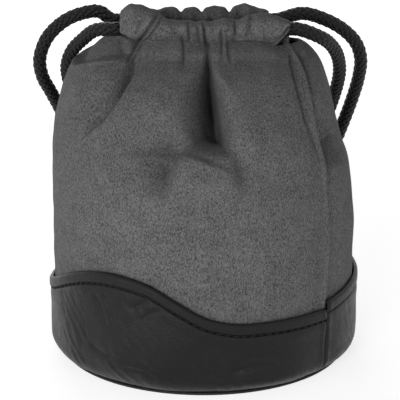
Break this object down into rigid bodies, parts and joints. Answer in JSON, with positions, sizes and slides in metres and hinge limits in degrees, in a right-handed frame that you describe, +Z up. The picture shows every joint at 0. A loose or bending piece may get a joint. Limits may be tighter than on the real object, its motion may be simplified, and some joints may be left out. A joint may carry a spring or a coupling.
{
  "type": "lens pouch",
  "caption": "Round padded drawstring pouch for a camera lens: suede walls, a leather base band with a wavy stitched edge, a gathered mouth and braided drawcords knotted at each side.",
  "frame": {"origin": "Middle of the underside of the sole.", "axes": "+Z up from the base to the mouth, -Y the pictured front, +X to the right of the front. The slit of the drawn mouth runs along X."},
  "size_m": [0.1318, 0.1229, 0.1356],
  "materials": {
    "suede": "brushed nap",
    "leather": "smooth semi-matte",
    "lining": "brushed knit",
    "padding": "foam",
    "board": "matte",
    "cord": "round braid"
  },
  "bodies": {
    "pouch": {"sole": "leather", "base_board": "board", "base_pad": "padding", "lining_floor": "lining", "front_band": "leather", "rear_band": "leather", "front_panel": "suede", "rear_panel": "suede", "lining_sleeve": "lining", "front_hem": "suede", "rear_hem": "suede"},
    "left_drawcord": {"left_front_strand": "cord", "left_rear_strand": "cord", "left_knot": "cord"},
    "right_drawcord": {"right_front_strand": "cord", "right_rear_strand": "cord", "right_knot": "cord"}
  },
  "joints": [
    {"name": "left_drawcord_pull", "type": "slide", "parent": "pouch", "child": "left_drawcord", "axis": [-1, 0, 0], "range_m": [0, 0.025]},
    {"name": "right_drawcord_pull", "type": "slide", "parent": "pouch", "child": "right_drawcord", "axis": [1, 0, 0], "range_m": [0, 0.025]}
  ]
}
